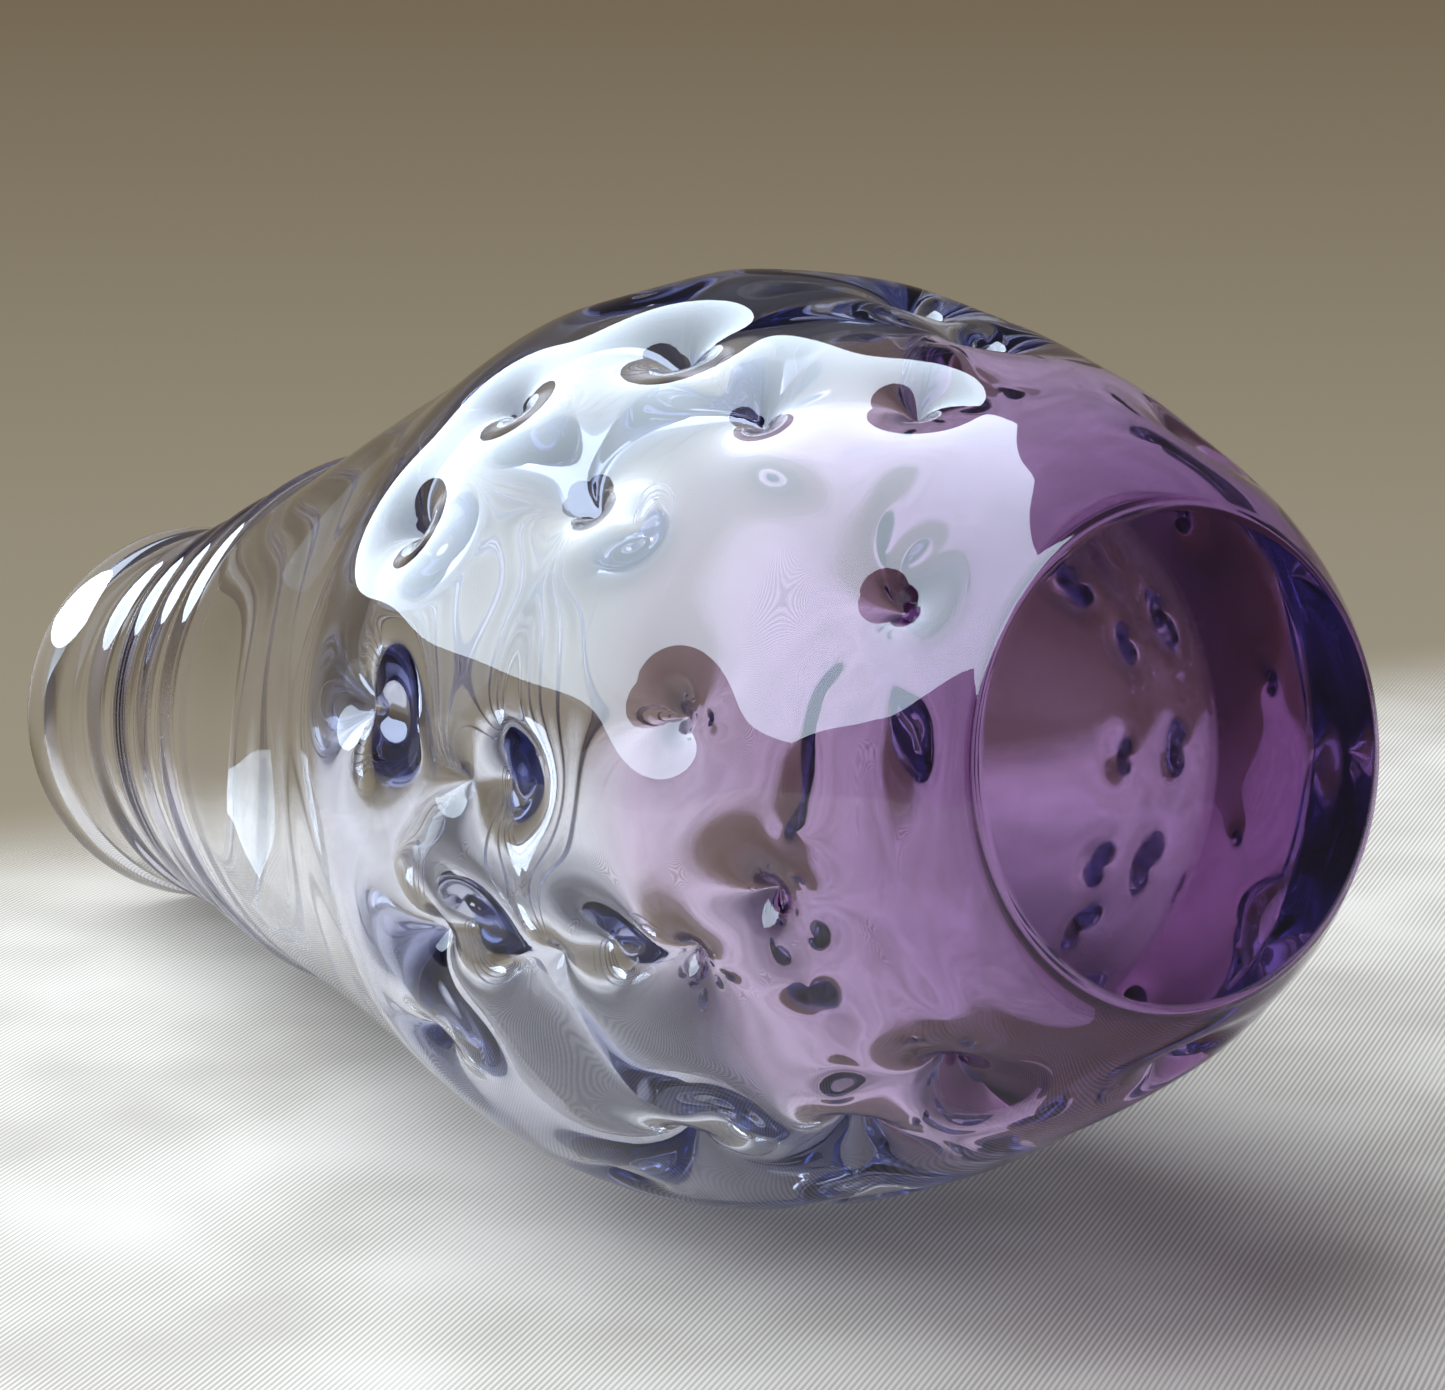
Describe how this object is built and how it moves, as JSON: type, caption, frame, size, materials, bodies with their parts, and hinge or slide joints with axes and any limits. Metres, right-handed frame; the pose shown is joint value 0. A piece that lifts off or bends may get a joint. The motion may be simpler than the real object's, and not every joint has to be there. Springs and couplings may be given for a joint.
{
  "type": "hand-blown glass bottle",
  "caption": "Heavy-based, thick-walled blown glass bottle with a pinched, dimpled pear-shaped body and a wide ringed neck.",
  "frame": {"origin": "centre of the flat underside, on the surface that the bottle stands on", "axes": "+Z along the bottle's axis, from the foot to the mouth; the foot and the -Y side face the viewer in the reference"},
  "size_m": [0.1101, 0.1091, 0.241],
  "materials": {
    "base_glass": "thick amethyst glass, fire-polished, ground flat underneath",
    "wall_glass": "pale lavender-grey glass, glossy, hand-tooled and slightly wavy",
    "neck_glass": "almost clear lavender glass, fire-polished"
  },
  "bodies": {
    "root": {"thick_base": "base_glass", "dimpled_body_wall": "wall_glass", "shoulder": "wall_glass", "neck": "neck_glass", "neck_ring_1": "neck_glass", "neck_ring_2": "neck_glass", "neck_ring_3": "neck_glass", "neck_ring_4": "neck_glass", "lip_wrap": "neck_glass"}
  },
  "joints": []
}
